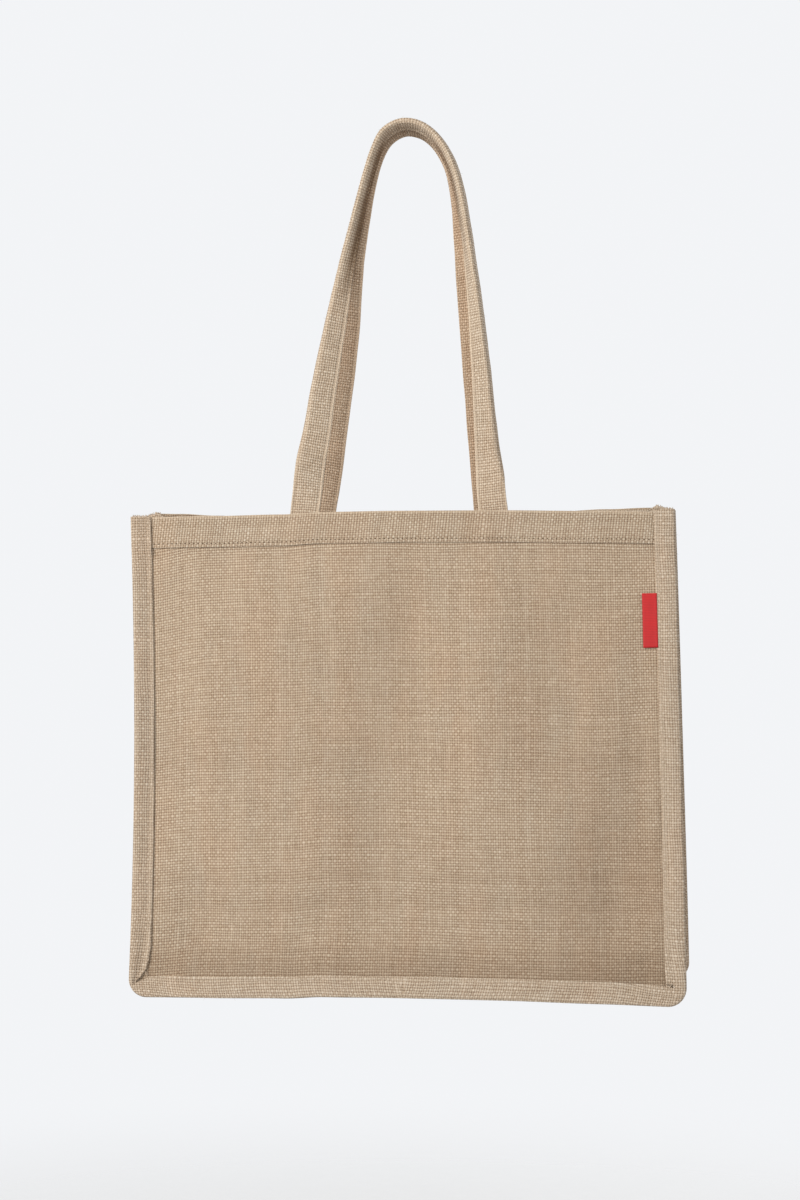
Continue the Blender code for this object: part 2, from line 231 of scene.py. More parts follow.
def makeWeaveGroup():  # plain weave: threads along U (weft) and V (warp), each uneven
    labels = ("Height", "Tone", "Gap", "Fibre", "Warp Line", "Weft Line")
    n, ask, result = newGroup("plainWeave", "ShaderNodeTree", {"Vector": "Vector", **threadInputs},
                              dict.fromkeys(labels, "Float"))
    pitch = n.vector(ask["Warps per Metre"], ask["Wefts per Metre"], ask["Warps per Metre"])
    scaled = n.stretch(ask["Vector"], pitch)
    across, along = n.put("ShaderNodeSeparateXYZ", {0: scaled}).outputs[:2]
    sides = []
    for place, run, offset, wider in ((across, along, 3.1, 0.015), (along, across, 57.7, 0.0)):
        seed = n.add(ask["Seed"], offset)
        wander = n.take(n.cloudy(n.vector(n.times(place, 0.31), n.times(run, 0.045), seed), 1.0), 0.5)
        moved = n.timesAdd(n.times(wander, ask["Unevenness"]), 1.1, place)
        index = n.calc("FLOOR", moved)
        offCentre = n.take(n.take(moved, index), 0.5)
        drawn = n.put("ShaderNodeTexWhiteNoise", {"W": n.add(index, seed)}, noise_dimensions="1D").outputs
        spread = n.vector(n.times(index, 7.31), n.times(run, 0.11), seed)
        slub = n.cloudy(spread, 1.0, 3.0, 0.65)  # thick and thin places along each thread
        slubby = n.times(n.take(slub, 0.5), ask["Unevenness"])
        width = n.timesAdd(n.take(drawn["Value"], 0.5), 0.08, ask["Thread Width"])
        width = n.calc("MAXIMUM", n.add(n.timesAdd(slubby, 0.22, width), wider), 0.20)
        share = n.calc("DIVIDE", offCentre, width)
        profile = n.calc("SQRT", n.calc("SUBTRACT", 1.0, n.times(share, share), clamp=True))
        dyed = n.put("ShaderNodeSeparateColor", {0: drawn["Color"]}).outputs[1]
        sides.append((moved, index, profile, n.timesAdd(dyed, 0.24, n.times(slub, 0.38))))
    heights = []
    for own, other, sign in ((sides[0], sides[1], 1.0), (sides[1], sides[0], -1.0)):
        turn = n.add(n.take(other[0], 0.5), own[1])
        lift = n.timesAdd(n.calc("COSINE", n.times(turn, pi)), 0.43 * sign, 0.57)  # over and under
        heights.append(n.times(own[2], lift))
    (_, warpIndex, warpLine, warpTone), (_, weftIndex, weftLine, weftTone) = sides
    warpHeight = n.times(n.add(heights[0], ask["Warp Lead"]), n.calc("GREATER_THAN", warpLine, 0.01))
    onTop = n.remap(n.take(warpHeight, heights[1]), -0.08, 0.08, smooth=True)
    paler = ask["Weft Lightness"]
    tones = {0: onTop, 2: n.add(weftTone, paler), 3: n.take(warpTone, paler)}
    tone = n.put("ShaderNodeMix", tones).outputs[0]
    lot = n.put("ShaderNodeTexWhiteNoise", {"Vector": n.vector(warpIndex, weftIndex)},
                noise_dimensions="2D").outputs["Value"]  # each crossing has its own tone
    values = (n.calc("MAXIMUM", warpHeight, heights[1]), n.timesAdd(n.take(lot, 0.5), 0.34, tone),
              n.remap(n.calc("MAXIMUM", warpLine, weftLine), 0.10, 0.66, 1.0, 0.0, smooth=True),
              n.cloudy(n.stretch(scaled, (2.2, 2.2, 1.0)), 1.0, 3.0, 0.7), warpLine, weftLine)
    for label, value in zip(labels, values):
        n.join(value, result[label])
    return n.tree


def makeJuteGroup():  # colour with painted shade and painted highlight, roughness and relief of the jute cloth
    n, ask, result = newGroup("juteCloth", "ShaderNodeTree", {
        "Weave Vector": "Vector", "Place": "Vector", **threadInputs, "Warp Grooves": 0.3,
        "Weft Grooves": 0.1, "Thread Colour": (0.4, 0.3, 0.2, 1.0), "Gap Shade Colour": (0.1, 0.06, 0.03, 1.0),
        "Contrast": 1.0, "Painted_Shade": 0.0, "Edge": 0.0},
        {"Color": "Color", "Roughness": "Float", "Height": "Float"})
    threads = {label: ask[label] for label in threadInputs}
    cloth = n.group(weaveGroup, {"Vector": ask["Weave Vector"], **threads})
    fibre = n.take(cloth["Fibre"], 0.5)
    drawnOut = n.stretch(ask["Place"], (1.0, 1.0, 0.30))  # groups of yarns run down the cloth
    level = n.timesAdd(n.take(cloth["Tone"], 0.31), 0.55, 1.0)
    level = n.timesAdd(fibre, 0.30, level)
    level = n.timesAdd(n.take(n.cloudy(ask["Place"], 9.0), 0.5), 0.06, level)
    level = n.timesAdd(n.take(n.cloudy(drawnOut, 70.0), 0.5), 0.10, level)
    # painted shade: darker where the weave lies low, and in the grooves beside each thread
    hollowShade = n.take(n.remap(cloth["Height"], 0.10, 0.95, 0.66, 1.09), 1.0)
    level = n.times(level, n.timesAdd(hollowShade, ask["Contrast"], 1.0))
    for thread in ("Warp", "Weft"):
        raised = n.take(cloth[thread + " Line"], 0.57)
        level = n.times(level, n.timesAdd(raised, ask[thread + " Grooves"], 1.0))
    shade = n.colour(n.calc("POWER", level, 0.78), level, n.calc("POWER", level, 1.22))  # the painted shade in the hollows turns browner
    colour = n.mix(1.0, ask["Thread Colour"], shade, "MULTIPLY")
    for shift, scale, detail, start, tint in (  # warm patches, then grey ones
            ((0.0, 0.0, 0.0), 38.0, 3.0, 0.46, (1.03, 0.98, 0.95, 1.0)),
            ((0.7, 0.3, 0.9), 52.0, 2.0, 0.48, (0.965, 0.99, 1.015, 1.0))):
        patch = n.cloudy(n.stretch(drawnOut, shift, "ADD"), scale, detail)
        patch = n.remap(patch, start, start + 0.20, 0.0, 0.5, smooth=True)
        colour = n.mix(patch, colour, n.mix(1.0, colour, tint, "MULTIPLY"))
    spots = {"Vector": ask["Weave Vector"], "Scale": 43.0, "Randomness": 1.0}
    husk = n.put("ShaderNodeTexVoronoi", spots).outputs  # dark flecks
    picked = n.put("ShaderNodeSeparateColor", {0: husk["Color"]}).outputs[0]
    fleck = n.remap(husk["Distance"], 0.030, 0.055, 0.72, 0.0, smooth=True)
    fleck = n.times(fleck, n.calc("GREATER_THAN", picked, 0.94))
    colour = n.mix(fleck, colour, (0.17, 0.095, 0.045, 1.0))
    # painted shade: the bag's shaded inside, seen through the gaps between threads
    colour = n.mix(n.times(cloth["Gap"], 0.40), colour, ask["Gap Shade Colour"])
    # painted highlight on folded edges, from the edge attribute
    pale = n.mix(1.0, ask["Thread Colour"], (1.26, 1.27, 1.28, 1.0), "MULTIPLY")
    colour = n.mix(ask["Edge"], colour, n.mix(0.75, colour, pale))
    # painted shade in creases, crevices, hollows and shaded parts, from its vertex attribute
    colour = n.mix(ask["Painted_Shade"], colour, n.mix(1.0, colour, (0.36, 0.27, 0.19, 1.0), "MULTIPLY"))
    n.join(colour, result["Color"])
    n.join(n.remap(cloth["Fibre"], 0.2, 0.8, 0.80, 0.97), result["Roughness"])
    n.join(n.timesAdd(fibre, 0.35, cloth["Height"]), result["Height"])
    return n.tree


weaveGroup = makeWeaveGroup()
juteGroup = makeJuteGroup()

finishLabels = ("Thread Colour", "Gap Shade Colour", "Warps per Metre", "Wefts per Metre", "Thread Width",
                "Unevenness", "Warp Lead", "Weft Lightness", "Contrast", "Seed", "Warp Grooves",
                "Weft Grooves")
finishes = {  # in the order of the labels, with the relief at the end
    "bodyBurlap": ((0.431, 0.3305, 0.2325, 1.0), (0.060, 0.034, 0.017, 1.0), 546.0, 476.0, 0.365,
                   0.9, 0.0, 0.18, 1.0, 2.0, 0.17, 0.06, 0.50),
    "hemBurlap": ((0.416, 0.322, 0.229, 1.0), (0.060, 0.035, 0.018, 1.0), 560.0, 476.0, 0.378,
                  0.8, -0.10, 0.18, 0.95, 9.0, 0.20, 0.14, 0.50),
    "borderBurlap": ((0.442, 0.347, 0.254, 1.0), (0.055, 0.037, 0.023, 1.0), 550.0, 470.0, 0.365,
                     1.1, 0.0, 0.16, 0.95, 31.0, 0.20, 0.05, 0.55),
    "strapBurlap": ((0.480, 0.378, 0.275, 1.0), (0.065, 0.040, 0.022, 1.0), 556.0, 480.0, 0.37,
                    0.8, 0.0, 0.20, 1.0, 53.0, 0.20, 0.10, 0.50),
    # a lighter, warmer copy of strapBurlap for the back strap: painted light on it, and a warmer tone
    "warmLitStrapBurlap": ((0.540, 0.398, 0.275, 1.0), (0.080, 0.045, 0.024, 1.0), 556.0, 480.0, 0.37,
                        0.8, 0.0, 0.20, 1.0, 61.0, 0.20, 0.10, 0.50),
    "sewingThread": ((0.50, 0.395, 0.285, 1.0), (0.20, 0.13, 0.08, 1.0), 2600.0, 2600.0, 0.46,
                     0.5, 0.0, 0.1, 0.7, 71.0, 0.0, 0.0, 0.08),
}


def makeJuteMaterial(name):
    material, n, shader = newMaterial(name)
    *values, relief = finishes[name]
    place = n.put("ShaderNodeTexCoord").outputs["Object"]
    weaveMap = n.put("ShaderNodeUVMap", uv_map="weave").outputs[0]
    inputs = {"Weave Vector": place if name == "sewingThread" else weaveMap, "Place": place}
    # two vertex attributes: painted shade, and painted highlight on edges
    for label in ("Painted_Shade", "Edge"):
        inputs[label] = n.put("ShaderNodeAttribute", attribute_name=label.lower()).outputs["Fac"]
    jute = n.group(juteGroup, {**inputs, **dict(zip(finishLabels, values))})
    n.fill(shader, {"Base Color": jute["Color"], "Roughness": jute["Roughness"],
                    "Normal": n.bump(0.85, relief, jute["Height"]), "Specular IOR Level": 0.18,
                    "Sheen Weight": 0.10, "Sheen Roughness": 0.6})
    return material


def makeTabMaterial():  # fine red ribbon weave
    material, n, shader = newMaterial("redTab")
    weave = n.group(weaveGroup, {
        "Vector": n.put("ShaderNodeUVMap", uv_map="weave").outputs[0], "Warps per Metre": 1500.0,
        "Wefts per Metre": 820.0, "Thread Width": 0.45, "Unevenness": 0.35, "Warp Lead": 0.0,
        "Weft Lightness": 0.1, "Seed": 11.0})
    worn = n.cloudy(n.put("ShaderNodeTexCoord").outputs["Object"], 140.0, 3.0)
    # painted shade where the ribbon weave lies low
    level = n.remap(weave["Height"], 0.1, 1.0, 0.60, 1.12)
    level = n.timesAdd(n.take(worn, 0.5), 0.25, level)
    red = n.mix(1.0, (0.50, 0.020, 0.021, 1.0), n.colour(level, level, level), "MULTIPLY")
    n.fill(shader, {"Base Color": red, "Roughness": n.remap(worn, 0.3, 0.7, 0.52, 0.68),
                    "Normal": n.bump(0.6, 0.08, weave["Height"]), "Specular IOR Level": 0.25,
                    "Sheen Weight": 0.05})
    return material


def makeHoleMaterial():  # the shaded cloth in the needle holes
    material, n, shader = newMaterial("needleHoleShade")
    grain = n.cloudy(n.put("ShaderNodeTexCoord").outputs["Object"], 900.0)
    n.fill(shader, {"Base Color": n.mix(grain, (0.08, 0.05, 0.03, 1.0), (0.16, 0.11, 0.07, 1.0)),
                    "Roughness": 0.95, "Specular IOR Level": 0.1})
    return material


def makeFloorMaterial():  # pale, thinning out to nothing at the rim
    material, n, shader = newMaterial("paleFloor")
    place = n.put("ShaderNodeTexCoord").outputs["Object"]
    flat = n.stretch(place, (1.0, 1.0, 0.0))
    reach = n.put("ShaderNodeVectorMath", {0: flat}, operation="LENGTH").outputs[1]
    radius = room["floorRadius"] * mm
    level = n.remap(n.cloudy(place, 60.0), 0.3, 0.7, 0.98, 1.0)
    pale = n.mix(1.0, room["floorColour"], n.colour(level, level, level), "MULTIPLY")
    n.fill(shader, {"Base Color": pale, "Roughness": 0.9, "Specular IOR Level": 0.1,
                    "Alpha": n.remap(reach, radius * 0.25, radius * 0.97, 1.0, 0.0, smooth=True)})
    return material


materials = {name: makeJuteMaterial(name) for name in finishes}
materials["redTab"] = makeTabMaterial()
materials["needleHoleShade"] = makeHoleMaterial()
materials["paleFloor"] = makeFloorMaterial()


def makeFloor():
    drawn = bmesh.new()
    bmesh.ops.create_circle(drawn, cap_ends=True, radius=room["floorRadius"] * mm, segments=96)
    bmesh.ops.translate(drawn, verts=drawn.verts, vec=(0.0, 0.0, -room["floorDrop"] * mm))
    mesh = bpy.data.meshes.new("studioFloor")
    drawn.to_mesh(mesh)
    drawn.free()
    mesh.materials.append(materials["paleFloor"])
    floor = addObject("studioFloor", mesh)


makeFloor()
print("finishes and floor made")


# ---- shape of the body: the same values as the solids ----
body = {
    "rimHeight": -295.5,
    "width": 426,
    "height": 372,
    "mouthDepth": 32,
    "baseDepth": 125,
    "sway": 10,
    "swayPower": 1.8,
    "waist": 0.008,
    # x and how far the rim stands up there
    "rise": ((-213, -4), (-150, -3.4), (-92, -2.4), (-60, -0.6), (0, 0), (74, 0), (150, -0.9),
             (213, -1.8)),
    "cornerRadius": 14,
    "panelInset": 3.6,
    "cloth": 0.8,
    "fineAbove": 34,  # rows of cells are closer above this drop
    # x and how far the back rim stands above the front one
    "rearRise": ((-213, 0), (-199, 3.9), (-182, 3.4), (-152, 1.6), (-120, 0), (110, 0),
                 (160, 2.6), (194, 4.2), (213, 0.4)),
}
halfWidth = body["width"] / 2
cornerStart = body["height"] - body["cornerRadius"]


def ease(start, end, value):
    share = min(max((value - start) / (end - start), 0), 1)
    return share * share * (3 - 2 * share)


def bell(centre, spread, value):
    return exp(-((value - centre) / spread) ** 2)


def steps(start, end, size):  # even values from start to end, about size apart
    count = max(1, round(abs(end - start) / size))
    return [start + (end - start) * index / count for index in range(count + 1)]


def ripple(x, y, z, length):  # smooth unevenness between about -1 and 1
    return noise.noise(Vector((x, y, z)) / length)


def halfDepth(drop):
    return (body["mouthDepth"] + (body["baseDepth"] - body["mouthDepth"]) * drop / body["height"]) / 2


def along(rows, place):  # the values at a place in a table, eased between its rows
    for start, end in zip(rows, rows[1:]):
        if place < end[0]:
            break
    share = ease(start[0], end[0], place)
    return [a + (b - a) * share for a, b in zip(start[1:], end[1:])]


def hang(x, drop, y):  # body place to world place
    down = min(max(drop / body["height"], 0), 1)
    swayed = x * (1 - body["waist"] * sin(pi * down))
    swayed += body["sway"] * (1 - (1 - down) ** body["swayPower"])
    height = body["rimHeight"] - drop + along(body["rise"], x)[0]
    if y > 0:
        height += along(body["rearRise"], x)[0] * ease(90, 10, drop) * ease(2, 12, y)
    return Vector((swayed, y, height)) * mm


def distances(points):  # how far along its line each point is, by its first two values
    runs = [0]
    for (x, y, *_), (nextX, nextY, *_) in zip(points, points[1:]):
        runs.append(runs[-1] + hypot(nextX - x, nextY - y))
    return runs


def sheetPiece(name, grid, thickness, material, extra=None):
    # grid rows hold (point, u, v, painted shade, painted highlight, other u and v or None)
    # extra is a range of rows and their finish
    drawn = bmesh.new()
    weaveMap = drawn.loops.layers.uv.new("weave")
    paintedShadeLayer = drawn.verts.layers.float.new("painted_shade")
    paintedLightLayer = drawn.verts.layers.float.new("edge")
    made = []
    for row in grid:
        line = []
        for point, u, v, painted_shade, edge, *other in row:
            vert = drawn.verts.new(point)
            vert[paintedShadeLayer] = painted_shade
            vert[paintedLightLayer] = edge
            line.append((vert, (u, v), other[0] if other else None))
        made.append(line)
    for index, (lower, upper) in enumerate(zip(made, made[1:])):
        for (a, b), (d, c) in zip(zip(lower, lower[1:]), zip(upper, upper[1:])):
            face = drawn.faces.new((a[0], b[0], c[0], d[0]))
            face.smooth = True
            if extra and extra[0] <= index < extra[1]:
                face.material_index = 1
            corners = (a, b, c, d)
            choice = 2 if all(corner[2] for corner in corners) else 1
            for loop, corner in zip(face.loops, corners):
                spot = [value * mm for value in corner[choice]]
                loop[weaveMap].uv = spot if face.material_index == 0 else spot[::-1]
    mesh = bpy.data.meshes.new(name)
    drawn.to_mesh(mesh)
    drawn.free()
    mesh.materials.append(materials[material])
    if extra:
        mesh.materials.append(materials[extra[2]])
    piece = addObject(name, mesh)
    wall = piece.modifiers.new("thickness", "SOLIDIFY")
    wall.thickness = thickness * mm
    wall.offset = 0
    makePlain(piece)
    outward(piece.data)
    return piece


def makePlain(piece):  # turns the modifiers' result into the piece's own mesh
    graph = bpy.context.evaluated_depsgraph_get()
    result = bpy.data.meshes.new_from_object(piece.evaluated_get(graph), preserve_all_data_layers=True,
                                             depsgraph=graph)
    result.name = piece.name
    piece.modifiers.clear()
    old = piece.data
    piece.data = result
    bpy.data.meshes.remove(old)


def outward(mesh):
    drawn = bmesh.new()
    drawn.from_mesh(mesh)
    bmesh.ops.recalc_face_normals(drawn, faces=drawn.faces)
    drawn.to_mesh(mesh)
    drawn.free()
    mesh.shade_smooth()


# ---- front and back panels ----
panel = {
    "column": 3,  # size of the cells across and down
    "row": 3.6,
    "fineRow": 1.3,
    "layer": 0.9,  # between the middles of the hem's two layers
    "hemHeight": 25,
    "hemSkew": 0.14,  # the hem was turned a little askew
    "stitchUp": 3.4,  # hem stitches above its lower edge
    "strapsAt": (-73, 74),  # x of the straps' middles, which push the hem out
    "plane": 0.1,
    "clearSide": 18,
    "rampSide": 45,
    "clearTop": 30,
    "rampTop": 60,
    "rampBase": 30,
    "foldEnd": 60,
    "baseTuck": 4.6,
    "baseTuckHeight": 36,
    # x and drop at the upper end, x and drop at the lower end, half width, depth inwards
    "frontFolds": (
        (10, 60, -24, 330, 34, 5.5), (62, 50, 70, 240, 26, -2.5), (128, 45, 124, 210, 24, 5),
        (-120, 60, -110, 320, 60, -3), (172, 210, 160, 330, 40, 4.5), (-170, 250, -165, 340, 30, 2.5)),
    "backFolds": (
        (-20, 60, 16, 330, 36, 5), (-92, 50, -84, 250, 28, -2.5), (96, 70, 110, 300, 44, 3),
        (-150, 200, -140, 330, 36, 4), (160, 120, 150, 320, 34, -2)),
    # smaller creases
    "frontCreases": (
        (-2, 46, 8, 118, 9, 1.3), (-30, 140, -14, 236, 11, 1.2), (36, 60, 30, 150, 10, -0.8),
        (92, 52, 100, 150, 12, 0.9), (-66, 90, -58, 200, 14, 0.7), (-150, 110, -158, 230, 13, -0.7),
        (150, 260, 178, 330, 12, 1.1), (110, 250, 86, 330, 14, -0.9), (-40, 280, -90, 336, 13, 0.9),
        (-178, 300, -150, 342, 10, 1), (20, 250, 40, 330, 15, 0.8), (186, 120, 180, 220, 10, 0.8),
        (192, 170, 188, 350, 44, 3.4)),
    "backCreases": (
        (-30, 50, -18, 150, 10, 1.2), (40, 70, 30, 190, 13, -0.9), (110, 90, 96, 210, 12, 1),
        (-120, 120, -110, 260, 14, 0.9), (70, 260, 20, 335, 13, 1), (-60, 260, -80, 330, 12, -0.9)),
}


def foldSum(folds, x, drop):
    total = 0
    for topX, topDrop, endX, endDrop, spread, depth in folds:
        share = min(max((drop - topDrop) / (endDrop - topDrop), 0), 1)
        centre = topX + (endX - topX) * share
        fade = min(panel["foldEnd"], (endDrop - topDrop) * 0.6)
        inside = ease(topDrop - fade, topDrop + fade, drop)
        inside *= 1 - ease(endDrop - fade, endDrop + fade, drop)
        total += depth * bell(centre, spread, x) * inside
    return total


def reliefAt(side, x, drop):  # how far the cloth lies inside its flat plane
    name = "front" if side < 0 else "back"
    depth = foldSum(panel[name + "Folds"], x, drop)
    small = 0.8 * foldSum(panel[name + "Creases"], x, drop)
    small += 0.45 * ripple(x, drop * 0.45, side * 90, 38) + 0.22 * ripple(x, drop * 0.7, side * 50, 13)
    fromBase = body["height"] - panel["clearSide"] - drop
    depth += panel["baseTuck"] * bell(panel["baseTuckHeight"], panel["baseTuckHeight"], fromBase)
    fromSide = halfWidth - panel["clearSide"] - abs(x)
    window = ease(0, panel["rampSide"], fromSide)
    window *= ease(panel["clearTop"], panel["clearTop"] + panel["rampTop"], drop)
    window *= ease(0, panel["rampBase"], fromBase)
    soft = ease(0, 14, fromSide) * ease(26, 44, drop) * ease(0, 12, fromBase)
    return depth * window + small * soft


def seamGroove(x, drop):  # the cloth is drawn in beside the border strips
    fromSide = halfWidth - abs(x)
    fromBase = body["height"] - drop
    side = 0.35 * bell(16.3, 1.2, fromSide) - 0.55 * bell(20.5, 3.2, fromSide) * ease(28, 40, drop)
    base = 0.2 * bell(16.3, 1.4, fromBase)
    if x > 0:
        side *= 0.3
    return side + base


def weftDrift(x, drop):  # threads pulled off the level beside the seams
    left = 7.5 * bell(-206, 34, x) * (1 - 0.55 * ease(40, 330, drop))
    right = -2.6 * bell(206, 34, x) * ease(10, 60, drop)
    return left + right + 1.2 * ripple(x, drop, 7, 90)


def hemOut(side, x, drop, shift):  # how far the hem's outer layer lies in front of the cloth below it
    fromEdge = panel["hemHeight"] - drop
    stitchDrop = panel["hemHeight"] - panel["stitchUp"]
    out = shift - 0.35 * bell(stitchDrop, 1.3, drop) * shift / panel["layer"]
    out -= 0.25 * ease(1.6, 0, fromEdge)
    out += 0.30 * ripple(x, drop * 2, side * 11, 22) * ease(0, 4, fromEdge) * ease(0, 4, drop)
    for strapX in panel["strapsAt"]:
        out += 0.5 * ease(15, 9, abs(x - strapX)) * ease(2, 8, drop) * ease(0.5, 6, fromEdge)
    return out


def hemWave(side, x, drop):
    return 0.35 * ripple(x, 0, side * 31, 70) * ease(60, 10, drop)


def panelRows():  # (drop, outward shift, half width), from the bottom edge up and over the rim
    inner = body["cornerRadius"] - body["panelInset"]
    straight = halfWidth - body["panelInset"]
    half = body["cloth"] / 2
    rows = []
    for angle in reversed(steps(0, pi / 2, pi / 16)[1:]):
        rows.append((cornerStart + inner * sin(angle), 0, straight - inner * (1 - cos(angle))))
    rows += [(drop, 0, straight) for drop in steps(cornerStart, body["fineAbove"], panel["row"])]
    roll = panel["layer"] / 2
    rows += [(drop, 0, straight) for drop in steps(body["fineAbove"], half + roll, panel["fineRow"])[1:]]
    for angle in steps(0, pi, pi / 6)[1:]:
        rows.append((half + roll - roll * sin(angle), roll * (1 - cos(angle)), straight))
    lowest = panel["hemHeight"] - half * 0.4
    rows += [(drop, panel["layer"], straight) for drop in steps(half + roll, lowest - 5, 1.5)[1:]]
    rows += [(drop, panel["layer"], straight) for drop in steps(lowest - 5, lowest, 0.7)[1:]]
    return rows


def panelShade(side, x, drop, folded):  # painted shade and painted highlight on the cloth
    fromRim = ease(2.2, 0.6, drop)
    # the hem: painted highlight on the rim's roll and on its lower edge
    if folded:
        return 0, 0.75 * fromRim + 0.25 * ease(1.6, 0.4, panel["hemHeight"] - drop)
    # painted shadow under the hem's lower edge
    painted_shade = 0.20 * bell(panel["hemHeight"] - 0.1, 0.7, drop) * ease(150, -150, x)
    if side > 0:  # painted shade inside the back rim, where it shows over the front one
        painted_shade = max(painted_shade, 0.5 * ease(16, 4, drop) * ease(-100, -140, x))
    # painted shade in the crevice beside the left border strip
    if x < 0:
        painted_shade = max(painted_shade, 0.16 * bell(15.8, 1.1, halfWidth + x))
    # painted shade along the bottom strip's upper line
    painted_shade = max(painted_shade, 0.20 * bell(16, 1, body["height"] - drop) * ease(-180, 160, x))
    painted_shade += 0.30 * bell(24, 19, body["height"] - drop)  # painted shade: the cloth is darker low down
    # painted shade of broad folds down the middle, on the right and low on the right
    painted_shade += 0.05 * bell(-3, 32, x) + 0.07 * bell(150, 32, x)
    painted_shade += 0.22 * bell(195, 65, x) * bell(290, 90, drop)
    # painted highlight along the rim
    return painted_shade, 0.6 * fromRim


def makePanel(name, node, side):
    straight = halfWidth - body["panelInset"]
    rows = panelRows()
    grid = []
    for (drop, shift, reach), path in zip(rows, distances(rows)):
        folded = shift > 0  # the hem, folded to the outside
        line = []
        for column in steps(-straight, straight, panel["column"]):
            x = column * reach / straight
            depth = halfDepth(drop) + panel["plane"] - reliefAt(side, x, drop) - seamGroove(x, drop)
            depth += hemWave(side, x, drop) + (hemOut(side, x, drop, shift) if folded else 0)
            u = x + 1.4 * ripple(x * 0.4, drop * 0.25, side * 3, 26)
            if folded:
                u += panel["hemSkew"] * (drop - 12)
            v = path + (2 * ripple(x, 3, side, 80) if folded else weftDrift(x, drop))
            line.append((hang(x, drop, side * depth), u, v, *panelShade(side, x, drop, folded)))
        grid.append(line)
    turned = [row[1] > 0 for row in rows].index(True)
    piece = sheetPiece(name, grid, body["cloth"], "bodyBurlap", (turned, len(grid), "hemBurlap"))
    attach(piece, "root")
    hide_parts(node)
    return piece


frontPanel = makePanel("frontPanelCloth", "front_panel", -1)
backPanel = makePanel("backPanelCloth", "back_panel", 1)


# ---- gusset: sides, bottom and the folded border strips ----
border = {
    "stripWidth": 15.4,
    "top": 2,  # raw ends above the rim
    "webTop": 2,
    "webFade": 15,  # the web's lowered top fades out over this drop
    "lift": 1.85,  # outer layer's middle in front of the panel's middle
    "outerLift": 2.75,  # the same beside the bag's edge
    "under": 0.95,  # the turned-under edge
    "back": -0.95,
    "backWidth": 12.5,
    "hemExtra": 1,
    "hemRamp": (26, 33),
    "webHalf": 60,
    "sag": 3,
    "cornerSag": 0.6,
    "leftCut": 1.7,  # the left ends were cut a little lower
    "stitched": 10,  # the point of the strip's section where the stitches are
    "fineStation": 1.8,
    "bellowsEase": 70,
    "station": 3.6,
    # place along the edge from the left top: strip width, height of the folded edge, groove depth,
    # painted shade on its inner line, painted highlight on its folded edge
    "shape": (
        (0, 15.6, 0.9, 0, 0.35, 0.3), (180, 15.6, 0.9, 0.1, 0.35, 0.3), (300, 15.8, 0.95, 0.4, 0.45, 0.3),
        (334, 16, 1, 0.8, 0.55, 0.3), (345, 14.8, 1, 1.1, 0.55, 0.3), (352, 13.2, 1, 1.2, 0.55, 0.2),
        (358, 9.8, 1, 1, 0.6, 0.1), (362, 6.6, 0.9, 0.8, 0.5, 0), (365, 4.4, 0.7, 0.6, 0.4, 0),
        (370, 12.6, 0.30, 0.3, 0.2, 0), (378, 15, 0.30, 0.1, 0, 0), (400, 15.2, 0.35, 0, 0, 0.08),
        (560, 15.4, 0.45, 0, 0.10, 0.15), (740, 15.5, 0.60, 0, 0.2, 0.2), (766, 15.2, 0.70, 0, 0.1, 0.2),
        (779, 14.5, 0.80, 0.1, 0, 0.1), (791, 14.3, 0.85, 0.2, 0, 0), (803, 14.5, 0.80, 0.1, 0, 0.1),
        (816, 15.2, 0.60, 0, 0, 0.3), (860, 15.4, 0.50, 0, 0, 0.5), (1163, 15.4, 0.50, 0, 0, 0.5)),
    "lowEdge": (300, 358, 1.7),  # the lower edge is drawn up, from and to these drops, by this much
}


def drawnUp(drop):
    start, end, height = border["lowEdge"]
    return drop - height * ease(start, end, drop)


def gussetStations():  # (edge x, edge drop, inward x, inward drop, how far the web folds in, path length)
    radius = body["cornerRadius"]
    width = border["stripWidth"]
    left = []
    lower = steps(body["fineAbove"], cornerStart, border["station"])[1:]
    for drop in steps(-border["top"], body["fineAbove"], border["fineStation"]) + lower:
        web = halfDepth(drop) - border["lift"]
        share = 1 - ease(cornerStart - border["bellowsEase"], cornerStart, drop)
        fold = sqrt(border["webHalf"] ** 2 - web ** 2) * share
        left.append((-halfWidth, drop, 1, 0, fold - border["cornerSag"] * (1 - share)))
    for angle in steps(0, pi / 2, pi / 28)[1:]:  # all corner folds meet at the mitre
        x = -halfWidth + radius * (1 - cos(angle))
        drop = cornerStart + radius * sin(angle)
        intoX = (-halfWidth + width - x) / width
        intoDrop = (body["height"] - width - drop) / width
        sag = border["cornerSag"] + (border["sag"] - border["cornerSag"]) * angle / (pi / 2)
        left.append((x, drop, intoX, intoDrop, -sag))
    end = halfWidth - radius
    bottom = [(x, body["height"], 0, -1, -border["sag"])
              for x in steps(-end, end, border["station"])[1:-1]]
    right = [(-x, drop, -intoX, intoDrop, fold) for x, drop, intoX, intoDrop, fold in reversed(left)]
    rows = left + bottom + right
    return [(*row, place) for row, place in zip(rows, distances(rows))]


